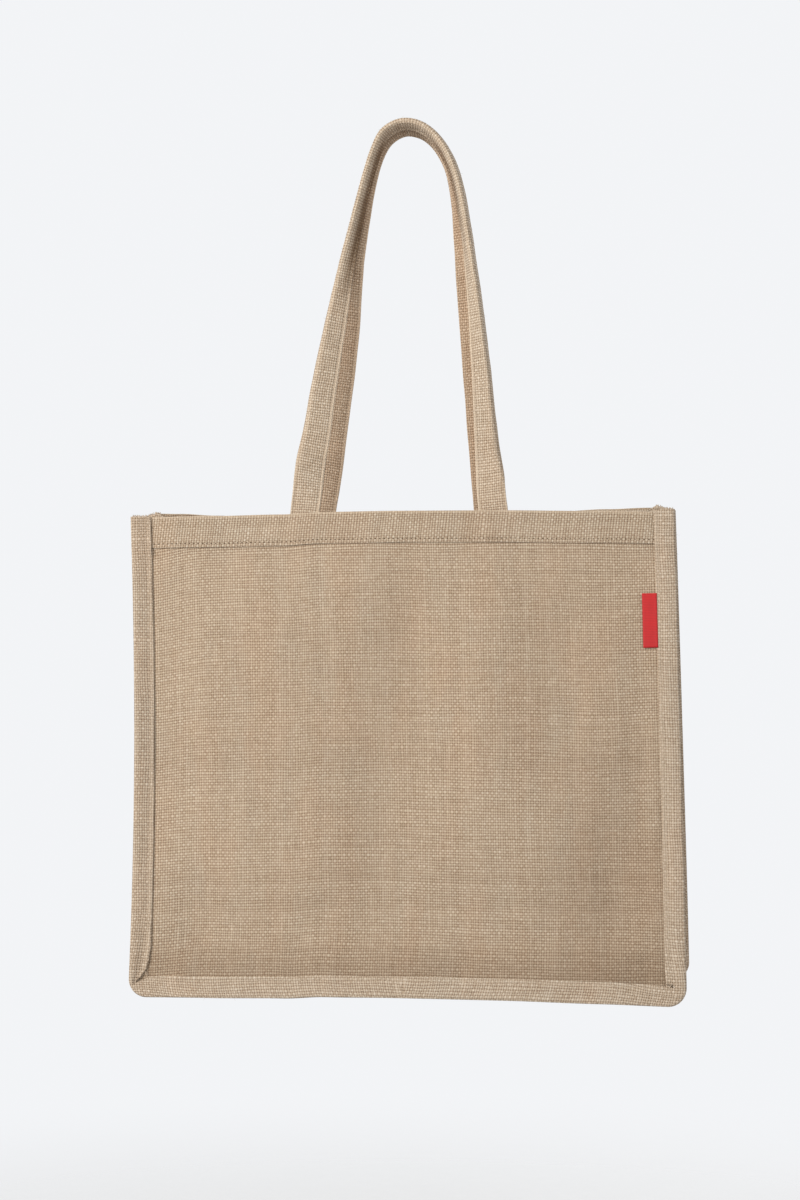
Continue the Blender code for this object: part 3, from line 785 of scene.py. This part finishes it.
def stripSection(edgeDrop, intoX, intoDrop, place, side):
    # points (inward, outward from the panel's middle plane, painted shade, painted highlight) from the
    # hidden edge to the web
    width, height, groove, dark, light = along(border["shape"], place)
    hem = border["hemExtra"] * (1 - ease(*border["hemRamp"], edgeDrop)) * min(abs(intoX), 1)
    lift = border["under"] + (border["lift"] - border["under"]) * height + hem
    outer = border["outerLift"] + hem * 0.6
    under = border["under"] - 0.45 * (1 - height) + hem
    turn = max((lift - under) / 2, 0.05)
    points = []
    # painted shade on the strip's inner line, where it turns under
    for back in (7, 3.5, turn):
        points.append((max(width - back, 2 - back * 0.1), under, dark, 0))
    # round the folded edge: painted shade below, painted highlight on top
    for angle in steps(-pi / 2, pi / 2, pi / 5)[1:]:
        bright = 0.5 + 0.5 * sin(angle)
        points.append((width - turn + turn * cos(angle), under + turn + turn * sin(angle),
                       0.45 * dark * (1 - bright), light * bright))
    bend = (outer - border["back"]) / 2
    for share in (0.95, 0.89, 0.83, 0.76, 0.68, 0.58, 0.48, 0.38, 0.28):
        inward = bend + (width - turn - bend) * share
        rise = (outer - lift) * ease(0.95, 0.22, share)
        dent = 0.25 * bell(0.80, 0.06, share) + groove * bell(0.50, 0.26, share)
        dent += 0.30 * ripple(inward * 1.5, place * 0.5, side * 17, 9)
        dent += 0.22 * ripple(inward * 0.6, place, side * 29, 4.5) * ease(0.95, 0.6, share)
        # painted shade on the left strip's face and in its groove, painted highlight towards the fold
        soft = 0.11 * ease(320, 200, place)
        points.append((inward, lift + rise - dent, soft + 0.22 * groove * bell(0.45, 0.25, share),
                       light * ease(0.72, 0.93, share)))
    # painted highlight on the bend round the bag's edge
    for angle in steps(pi / 2, -pi / 2, pi / 8):
        points.append((bend - bend * cos(angle), outer - bend + bend * sin(angle), 0,
                       0.12 * max(sin(angle), 0)))
    for inward in (5, 8, border["backWidth"]):
        points.append((inward, border["back"], 0, 0))
    return points


def straightWeave(x, drop):  # the strip's own face keeps a straight weave
    pull = 2.6 * bell(-206, 30, x) - 2 * bell(206, 30, x) + 1.2 * ripple(x, drop, 5, 60)
    slant = 0.30 * (drop - body["height"]) * bell(body["height"], 26, drop)
    u = x + slant * copysign(1, x) + ripple(x, drop, 12, 34)
    return u, drop + pull + slant * bell(206, 40, abs(x))


def makeGusset():
    width = border["stripWidth"]
    stations = gussetStations()
    grid = []
    for edgeX, edgeDrop, intoX, intoDrop, fold, place in stations:
        sides = []
        for side in (-1, 1):
            strip = stripSection(edgeDrop, intoX, intoDrop, place, side)
            sides.append([(inward, side * (halfDepth(edgeDrop + intoDrop * inward) + out), painted_shade, edge)
                          for inward, out, painted_shade, edge in strip])
        outermost = len(strip) - 8  # where the cloth turns round the bag's edge
        webHalf = halfDepth(edgeDrop + intoDrop * width) + border["back"] - 0.3
        web = []
        for angle in steps(-pi / 2, pi / 2, pi / 20):
            share = sin(angle)
            soft = 1 - share * share
            crumple = 1.6 * ripple(place * 0.45, share * 42, 3, 21)
            crumple += 2.6 * ripple(place, share * 60, 9, 66)
            crumple += 0.22 * fold * bell(0, 0.24, share)  # the middle crease of the bellows
            web.append((width + (fold + crumple) * soft, share * webHalf, 0, 0))
        section = sides[0] + web + sides[1][::-1]
        fromTop = edgeDrop + border["top"]
        webDrop = (border["top"] + border["webTop"]) * (1 - min(fromTop / border["webFade"], 1))
        line = []
        for index, ((inward, y, painted_shade, edge), across) in enumerate(zip(section, distances(section))):
            lower = webDrop * ease(width - 1.5, width + 6, inward)
            x = edgeX + intoX * inward
            drop = edgeDrop + intoDrop * inward
            if edgeX < 0:
                drop += border["leftCut"] * ease(14, -2, edgeDrop)
            onStrip = min(index, len(section) - 1 - index) <= outermost
            flat = straightWeave(x, drop) if onStrip else None
            v = place + 2.2 * ripple(across, place, 5, 60)
            line.append((hang(x, drawnUp(drop) + lower, y), across, v, painted_shade, edge, flat))
        grid.append(line)
    piece = sheetPiece("gussetCloth", grid, body["cloth"], "borderBurlap")
    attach(piece, "root")
    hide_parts("gusset")
    print("gussetCloth", len(piece.data.polygons), "faces")
    return piece


gusset = makeGusset()


# ---- straps ----
strap = {
    "half": 11.5,
    "cloth": 0.52,
    "fold": 86,  # degrees each half turns back where it is bunched
    "ridge": 0.2,
    "ridgeSoft": 0.9,
    "station": 3.4,
    "sewn": 27,
    "sewnIn": 2.65,  # how far it lies inside the panel where it is sewn in
    "splay": 1.02,
    "stitchIn": 2.3,  # stitches in from the edge
    "inner": 0.33,
    "outer": 0.91,
    # x, y, z and how far it is folded lengthwise
    "front": (
        (-74.6, -13.1, -296.5, 0), (-70.2, -12.9, -263, 0.26), (-64.5, -12.4, -231, 0.42),
        (-57.4, -11.6, -188, 0.53), (-48.6, -10.6, -141, 0.67), (-42.2, -9.8, -110, 0.78),
        (-34.2, -8.8, -68, 0.96), (-25.4, -8.2, -34, 1), (-18.8, -8, -13, 1),
        (-11, -8, 0.5, 1), (2, -8, 6.5, 1), (16, -8, 4, 1), (28, -8, -5.5, 1),
        (38, -8, -21.5, 1), (45, -8.2, -42, 1), (50, -8.8, -66, 1),
        (54.4, -9.8, -97, 0.98), (58, -10.6, -128, 0.90), (62.1, -11.6, -169, 0.80),
        (67.5, -12.6, -237, 0.60), (70.8, -13, -268, 0.36), (74, -13.1, -296, 0)),
    "back": (
        (-65.9, 13.1, -296.5, 0), (-60.6, 12.8, -262, 0.26), (-51.8, 12, -208, 0.46),
        (-44.5, 11, -160, 0.58), (-38.6, 9.8, -111, 0.74), (-33.4, 8.8, -75, 0.90),
        (-27.2, 8.2, -43, 1), (-21, 8, -19, 1), (-12, 8, -2.5, 1), (1, 8, 5, 1),
        (15, 8, 2.5, 1), (27, 8, -7, 1), (36.2, 8, -23, 1), (41.6, 8.2, -43, 0.96),
        (44.8, 8.8, -69, 0.90), (48.8, 9.8, -112, 0.78), (54.2, 11.2, -166, 0.62),
        (59, 12.2, -212, 0.46), (64.2, 12.9, -262, 0.24), (67.6, 13.1, -296, 0)),
}


def smoothRoute(rows):
    rows = [Vector(row) for row in rows]
    rows = [rows[0] * 2 - rows[1], *rows, rows[-1] * 2 - rows[-2]]
    points = []
    for before, start, end, after in zip(rows, rows[1:], rows[2:], rows[3:]):
        for t in steps(0, 1, strap["station"] / (end.xyz - start.xyz).length)[:-1]:
            points.append(0.5 * (2 * start + (end - before) * t
                                 + (2 * before - 5 * start + 4 * end - after) * t ** 2
                                 + (3 * start - before - 3 * end + after) * t ** 3))
    return points + [rows[-2]]


def strapLine(fold):  # the strap's bent middle line: a broad face, a ridge and a narrow face turned back
    half = strap["half"]
    turn = radians(strap["fold"])
    seen = 0  # how wide it looks from the front
    samples = 24
    for index in range(samples):
        share = (index + 0.5) / samples
        seen += 2 * half / samples * cos(turn * fold * tanh(share / strap["ridge"]))
    ridge = min(max(seen * 1.01 - half, 0), half - 1.2)
    narrow = turn * ease(0, 0.35, fold)
    broad = (seen - (half - ridge) * cos(narrow)) / (half + ridge)
    broad = acos(min(max(broad, 0), 1)) if fold > 0 else 0
    count = 60
    size = 2 * half / count
    rows = []
    across = 0
    back = 0
    for index in range(count + 1):
        distance = -half + size * index
        share = 0.5 + 0.5 * tanh((distance - ridge) / strap["ridgeSoft"])
        angle = -broad + (broad + narrow) * share
        rows.append((across, back, angle))
        across += size * cos(angle)
        back += size * sin(angle)
    middle = (rows[0][0] + rows[-1][0]) / 2
    depth = (min(row[1] for row in rows) + max(row[1] for row in rows)) / 2

    def at(distance, out):
        spot = min(max((distance + half) / size, 0), count - 0.001)
        index = int(spot)
        first, second = rows[index], rows[index + 1]
        share = spot - index
        across, back, angle = [a + (b - a) * share for a, b in zip(first, second)]
        beyond = distance - min(max(distance, -half), half)
        across += beyond * cos(angle) - out * sin(angle) - middle
        return across, back + beyond * sin(angle) + out * cos(angle) - depth

    at.ridge = ridge
    return at


def strapLayers():  # path of the cloth in a section: (across, out), from one raw edge to the other
    edge = strap["half"] - 0.9
    inner = strap["inner"]
    outer = strap["outer"]
    middle = (inner + outer) / 2
    turn = (outer - inner) / 2
    spots = [-edge, -9.9, -9.2, -8.5, -7, -5, -3.2, -2, -1.1, -0.4]
    spots += [0.4, 1.1, 2, 3.2, 5, 7, 8.5, 9.2, 9.9, edge]
    path = [(spot, -inner) for spot in spots[4:]]
    path += [(edge + turn * sin(angle), -middle + turn * cos(angle)) for angle in (0.8, 1.57, 2.34)]
    path += [(spot, -outer) for spot in reversed(spots)]
    path += [(-edge - outer * sin(angle), -outer * cos(angle)) for angle in (0.5, 1, 1.57, 2.14, 2.64)]
    path += [(spot, outer) for spot in spots]
    path += [(edge + turn * sin(angle), middle + turn * cos(angle)) for angle in (0.8, 1.57, 2.34)]
    path += [(spot, inner) for spot in reversed(spots[4:])]
    return path


def strapShade(side, point, spot, ridge):  # painted shade and painted highlight at a spot across the strap
    stitch = strap["half"] - strap["stitchIn"]
    bend = point[3]
    # painted shade in the stitch grooves
    dark = 0.24 * bell(stitch, 0.7, abs(spot))
    # painted highlight on the edge beads beyond the stitches, weaker on one side
    light = 0.6 if spot > 0 else 1
    light *= ease(stitch + 0.1, stitch + 0.9, abs(spot))
    # painted highlight along the ridge
    light = max(light, 0.5 * bell(ridge - 0.6, 0.8, spot) * ease(0.1, 0.4, bend))
    low = -150 if point[0] < 0 else -100  # where the painted shade in the hollow between the two straps runs out
    # painted shade in the hollow between the front and back straps
    shadeBetween = ease(0.60, 0.80, bend) * ease(low - 20, low + 75, point[2])
    shadeBetween *= 0.35 + 0.65 * ease(4, -16, point[2])
    if side < 0:
        shadeBetween *= ease(ridge - 3.4, ridge - 6.2, spot)
        # painted shade beside the front strap's ridge
        dark = max(dark, 0.34 * bell(ridge + 1.9, 0.7, spot) * ease(0.3, 0.6, bend))
        if point[0] < 0:
            # painted shade in a small slanting crease low on the left leg
            slanted = spot + 0.5 + (point[2] + 258) * 0.9
            dark = max(dark, 0.30 * bell(0, 1.3, slanted) * bell(-258, 7, point[2]))
    else:
        shadeBetween *= ease(-7, -3, spot)
        if point[0] > 0:
            # painted shade on the back strap's right leg, with its painted highlight weakened
            dark = max(dark, 0.36 * ease(-10, -40, point[2]))
            light *= 0.3
    light *= 1 - ease(0.2, 0.5, shadeBetween)
    return max(dark, shadeBetween), light


def makeStrap(name, node, side, route, finish):
    stitch = strap["half"] - strap["stitchIn"]
    sewnY = side * (halfDepth(strap["sewn"]) - strap["sewnIn"])
    ends = [(row[0] * strap["splay"], sewnY, row[2] - strap["sewn"], 0) for row in (route[0], route[-1])]
    points = smoothRoute([ends[0], *route, ends[1]])
    layers = strapLayers()
    grid = []
    lines = {(sign, face): [] for sign in (-1, 1) for face in (-1, 1)}
    run = 0
    for index, point in enumerate(points):
        before = points[max(index - 1, 0)].xyz
        run += (point.xyz - before).length
        course = (points[min(index + 1, len(points) - 1)].xyz - before).normalized()
        across = course.cross(Vector((0, 1, 0))).normalized()
        inward = across.cross(course).normalized()
        at = strapLine(point[3])
        spots = []
        for spot, out in layers:
            fromMiddle = abs(spot)
            flat = 1 - 0.38 * bell(stitch, 0.75, fromMiddle)
            flat += 0.10 * ease(stitch + 0.4, stitch + 1.2, fromMiddle)
            uneven = 0.16 * ripple(run, spot * 2, side * 9 + copysign(4, out), 9)
            spots.append(at(spot, out * flat + uneven))
        sway = 0.35 * ripple(run, 0, side * 40, 28)
        line = []
        for (spot, _), (a, b), width in zip(layers, spots, distances(spots)):
            place = (point.xyz + across * (a + sway) + inward * b) * mm
            v = run + 1.2 * ripple(width, run, side * 5, 30)
            line.append((place, width, v, *strapShade(side, point, spot, at.ridge)))
        grid.append(line)
        for sign, face in lines:
            a, b = at(sign * stitch, face * strap["outer"] * 0.86)
            deep, inner = at(sign * stitch, 0)
            facing = (across * (a - deep) + inward * (b - inner)).normalized()
            lines[sign, face].append(((point.xyz + across * a + inward * b) * mm, facing))
    piece = sheetPiece(name, grid, strap["cloth"], finish)
    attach(piece, "root")
    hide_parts(node)
    print(name, len(piece.data.polygons), "faces, flat", round(width * mm, 3), round(run * mm, 3))
    return piece, list(lines.values())


frontStrap, frontStrapLines = makeStrap("frontHandleStrap", "front_handle", -1, strap["front"],
                                        "strapBurlap")
backStrap, backStrapLines = makeStrap("backHandleStrap", "back_handle", 1, strap["back"],
                                      "warmLitStrapBurlap")


# ---- red tab in the right border strip ----
tab = {
    "width": 11,
    "top": 62.4,
    "height": 41.4,
    "cloth": 0.36,
    "gap": 0.50,  # between its two layers' middles
    "slant": 0.5,
    "tucked": 0.4,  # into the strip's fold
}


def makeTab():
    right = halfWidth - border["stripWidth"] + tab["tucked"]
    left = right - tab["width"]
    turn = tab["gap"] / 2
    shares = steps(0, 1, 0.12)
    path = [(right - tab["width"] * share, 0) for share in shares]
    path += [(left - turn * sin(angle), turn - turn * cos(angle)) for angle in (0.6, 1.2, 1.9, 2.5)]
    path += [(left + tab["width"] * share, tab["gap"]) for share in shares]
    grid = []
    for drop in steps(tab["top"], tab["top"] + tab["height"], 1.6):
        line = []
        for (x, out), run in zip(path, distances(path)):
            share = (right - x) / tab["width"]
            lower = drop + tab["slant"] * share
            out += halfDepth(lower) + panel["plane"] - reliefAt(-1, x, lower) - seamGroove(x, lower)
            out += 0.80 + 0.30 * share + 0.35 * bell(1, 0.5, share) * abs(ripple(drop, x, 2, 14))
            out += 0.5 * bell(0, 0.22, share)  # rises to the strip's folded edge
            line.append((hang(x, lower, -out), run, drop, 0, 0))
        grid.append(line)
    piece = sheetPiece("redTabCloth", grid, tab["cloth"], "redTab")
    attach(piece, "root")
    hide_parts("label")


makeTab()
print("straps and tab made")


# ---- stitches, frayed ends and loose fibres ----
def alongLines(n, ask):  # evenly spaced points along the lines, and the way they face
    line = n.put("GeometryNodeMeshToCurve", {"Mesh": ask["Geometry"]}).outputs[0]
    spaced = n.put("GeometryNodeResampleCurve", {"Curve": line, "Length": ask["Pitch"]}, mode="LENGTH")
    facing = n.put("GeometryNodeInputNamedAttribute", {"Name": "facing"}, data_type="FLOAT_VECTOR")
    return spaced.outputs[0], facing.outputs[0]


def swung(n, rotation, x, y, z):
    inputs = {"Rotation": rotation, "Rotate By": n.vector(x, y, z)}
    return n.put("FunctionNodeRotateRotation", inputs, rotation_space="LOCAL").outputs[0]


def bowedTube(n, start, middle, end, radius, sides):
    bow = n.put("GeometryNodeCurveQuadraticBezier", {
        "Resolution": 4, "Start": n.vector(*start), "Middle": n.vector(*middle), "End": n.vector(*end)})
    ring = n.put("GeometryNodeCurvePrimitiveCircle", {"Resolution": sides, "Radius": radius})
    return n.put("GeometryNodeCurveToMesh", {"Curve": bow.outputs[0], "Profile Curve": ring.outputs[0],
                                             "Fill Caps": True}).outputs[0]


def plant(n, points, thread, rotation, scale, finish, result):
    placed = n.put("GeometryNodeInstanceOnPoints", {
        "Points": points, "Instance": thread, "Rotation": rotation, "Scale": n.vector(*scale)}).outputs[0]
    solid = n.put("GeometryNodeRealizeInstances", {"Geometry": placed}).outputs[0]
    done = n.put("GeometryNodeSetMaterial", {"Geometry": solid, "Material": finish}).outputs[0]
    n.join(done, result[0])
    return n.tree


def makeStitchTree():  # one bowed thread at every step along each line
    n, ask, result = newGroup("stitchesAlongLine", "GeometryNodeTree", {
        "Geometry": "Geometry", "Pitch": 0.004, "Length": 0.003, "Thread Radius": 0.0003, "Sink": 0.0003,
        "Wobble": 0.1, "Seed": 1, "Finish": "Material"}, {"Geometry": "Geometry"})
    spaced, facing = alongLines(n, ask)
    tangent = n.put("GeometryNodeInputTangent").outputs[0]
    turned = n.put("FunctionNodeAlignRotationToVector", {"Vector": tangent}, axis="X").outputs[0]
    turned = n.put("FunctionNodeAlignRotationToVector", {"Rotation": turned, "Vector": facing},
                   axis="Z", pivot_axis="X").outputs[0]
    swing = n.chance(n.times(ask["Wobble"], -1.0), ask["Wobble"], ask["Seed"])
    turned = swung(n, turned, 0.0, 0.0, swing)
    half = n.times(ask["Length"], 0.5)
    low = n.times(ask["Sink"], -1.0)
    thread = bowedTube(n, (n.times(half, -1.0), 0.0, low), (0.0, 0.0, n.times(ask["Sink"], 1.6)),
                       (half, 0.0, low), ask["Thread Radius"], 5)
    size = n.chance(0.85, 1.1, n.add(ask["Seed"], 5))
    return plant(n, spaced, thread, turned, (size, 1.0, 1.0), ask["Finish"], result)


def makeFrayTree():  # thread ends standing out of a raw edge
    n, ask, result = newGroup("frayedEdge", "GeometryNodeTree", {
        "Geometry": "Geometry", "Pitch": 0.0008, "Length": 0.003, "Thread Radius": 0.0003, "Spread": 0.5,
        "Seed": 1, "Finish": "Material"}, {"Geometry": "Geometry"})
    spaced, facing = alongLines(n, ask)
    turned = n.put("FunctionNodeAlignRotationToVector", {"Vector": facing}, axis="Z").outputs[0]
    wide = ask["Spread"]
    swings = [n.chance(n.times(wide, -1.0), wide, n.add(ask["Seed"], step)) for step in (0, 1)]
    turned = swung(n, turned, *swings, n.chance(0.0, 6.283, n.add(ask["Seed"], 2)))
    length = ask["Length"]
    thread = bowedTube(n, (0.0, 0.0, n.times(length, -0.15)), (0.0, 0.0, n.times(length, 0.6)),
                       (n.times(length, 0.22), 0.0, length), ask["Thread Radius"], 4)
    size = n.chance(0.25, 1.0, n.add(ask["Seed"], 3))
    return plant(n, spaced, thread, turned, (1.0, 1.0, size), ask["Finish"], result)


def makeFibreTree():  # short loose fibres all over a cloth
    n, ask, result = newGroup("looseFibres", "GeometryNodeTree", {
        "Geometry": "Geometry", "Density": 2000.0, "Length": 0.002, "Fibre Radius": 0.00006,
        "Seed": 1, "Finish": "Material"}, {"Geometry": "Geometry"})
    spots = n.put("GeometryNodeDistributePointsOnFaces", {
        "Mesh": ask["Geometry"], "Density": ask["Density"], "Seed": ask["Seed"]}).outputs
    tilts = [n.chance(-1.25, 1.25, n.add(ask["Seed"], step)) for step in (1, 2)]
    turned = swung(n, spots["Rotation"], *tilts, n.chance(0.0, 6.283, n.add(ask["Seed"], 3)))
    length = ask["Length"]
    hair = bowedTube(n, (0.0, 0.0, -0.0002), (0.0, 0.0, n.times(length, 0.6)),
                     (n.times(length, 0.5), 0.0, length), ask["Fibre Radius"], 3)
    size = n.chance(0.3, 1.0, n.add(ask["Seed"], 4))
    return plant(n, spots["Points"], hair, turned, (size, 1.0, size), ask["Finish"], result)


def linesMesh(name, lines):  # open lines of (place, facing)
    mesh = bpy.data.meshes.new(name)
    edges = []
    start = 0
    for line in lines:
        edges += [(start + index, start + index + 1) for index in range(len(line) - 1)]
        start += len(line)
    mesh.from_pydata([place for line in lines for place, _ in line], edges, [])
    layer = mesh.attributes.new("facing", "FLOAT_VECTOR", "POINT")
    for index, facing in enumerate(facing for line in lines for _, facing in line):
        layer.data[index].vector = facing
    return mesh


def grow(name, mesh, tree, values, slot):
    piece = addObject(name, mesh)
    growth = piece.modifiers.new("growth", "NODES")
    growth.node_group = tree
    for item in tree.interface.items_tree:
        if item.item_type == "SOCKET" and item.in_out == "INPUT" and item.name in values:
            growth[item.identifier] = values[item.name]
    makePlain(piece)
    piece.data.shade_smooth()
    if not piece.data.materials:
        piece.data.materials.append(values["Finish"])
    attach(piece, "root")
    print(name, len(piece.data.polygons), "faces")


stitching = {  # pitch, length, thread radius, sink, wobble in radians, seed
    "hemStitches": (3.5, 2.7, 0.28, 0.30, 0.10, 3),
    "hemHoleShade": (3.5, 1.1, 0.50, 0.05, 0.20, 5),
    "borderStitches": (4.2, 2.8, 0.26, 0.30, 0.10, 8),
    "strapStitches": (3.6, 2.5, 0.24, 0.28, 0.08, 14),
}
loose = {
    "fray": {"Pitch": 0.55 * mm, "Length": 1.9 * mm, "Thread Radius": 0.22 * mm, "Spread": 0.55,
             "Seed": 21},
    "fibre": {"Density": 5200.0, "Length": 2.3 * mm, "Fibre Radius": 0.055 * mm, "Seed": 33},
    "holesAlong": 1.75,  # a hole halfway between two stitches
    "holesUnder": 0.10,
    "seamEnd": 16.5,  # the hem's seam ends this far inside the bag's edge
    "proud": 0.02,  # stitches above the cloth's face
    "mitre": (340.0, 374.0),  # no border stitches here
    "endDrops": (2.0, 0.4),  # raw ends below the strips' tops, left and right
}


def sew(name, lines, finish, slot):
    pitch, length, radius, sink, wobble, seed = stitching[name]
    values = {"Pitch": pitch * mm, "Length": length * mm, "Thread Radius": radius * mm, "Sink": sink * mm,
              "Wobble": wobble, "Seed": seed, "Finish": materials[finish]}
    grow(name, linesMesh(name, lines), stitchTree, values, slot)


def hemLines(start, lower):
    lines = []
    drop = panel["hemHeight"] - panel["stitchUp"]
    for side in (-1, 1):
        line = []
        for x in steps(-halfWidth + loose["seamEnd"] + start, halfWidth - loose["seamEnd"], 3):
            out = panel["plane"] + hemOut(side, x, drop, panel["layer"]) + hemWave(side, x, drop)
            out += body["cloth"] / 2 + loose["proud"] - lower
            line.append((hang(x, drop, side * (halfDepth(drop) + out)), Vector((0, side, 0))))
        lines.append(line)
    return lines


def borderLines():
    lines = {-1: [], 1: []}
    start, end = loose["mitre"]
    for edgeX, edgeDrop, intoX, intoDrop, fold, place in gussetStations():
        if edgeDrop < 1 or start < place < end:
            continue
        for side in lines:
            section = stripSection(edgeDrop, intoX, intoDrop, place, side)
            inward, out, painted_shade, edge = section[border["stitched"]]
            drop = edgeDrop + intoDrop * inward
            out += halfDepth(drop) + body["cloth"] / 2 + loose["proud"]
            spot = hang(edgeX + intoX * inward, drawnUp(drop), side * out)
            lines[side].append((spot, Vector((0, side, 0))))
    return list(lines.values())


def rawEnds():  # the strips' raw tops
    lines = []
    for side in (-1, 1):
        for right, lower in zip((-1, 1), loose["endDrops"]):
            drop = lower - border["top"]
            for out in (border["lift"] + border["hemExtra"], border["back"]):
                y = side * (halfDepth(drop) + out)
                lines.append([(hang(right * (halfWidth - inward), drop, y), Vector((0, 0, 1)))
                              for inward in steps(1.5, border["stripWidth"] - 0.5, 2)])
    return lines


stitchTree = makeStitchTree()
frayTree = makeFrayTree()
fibreTree = makeFibreTree()
thread = materials["sewingThread"]
sew("hemStitches", hemLines(0, 0), "sewingThread", "burlap")
# dark beads of painted shade, standing for the needle holes between the hem stitches
sew("hemHoleShade", hemLines(loose["holesAlong"], loose["holesUnder"]), "needleHoleShade", "burlap")
sew("borderStitches", borderLines(), "sewingThread", "burlap")
sew("strapStitches", frontStrapLines + backStrapLines, "sewingThread", "strap")
grow("frayedEnds", linesMesh("frayedEnds", rawEnds()), frayTree,
     {**loose["fray"], "Finish": thread}, "burlap")
for source, name, slot in ((frontPanel, "frontFibres", "burlap"), (backPanel, "backFibres", "burlap"),
                           (gusset, "borderFibres", "burlap"), (frontStrap, "frontStrapFibres", "strap"),
                           (backStrap, "backStrapFibres", "strap")):
    grow(name, source.data.copy(), fibreTree, {**loose["fibre"], "Finish": thread}, slot)
print("stitches, frayed ends and fibres made")
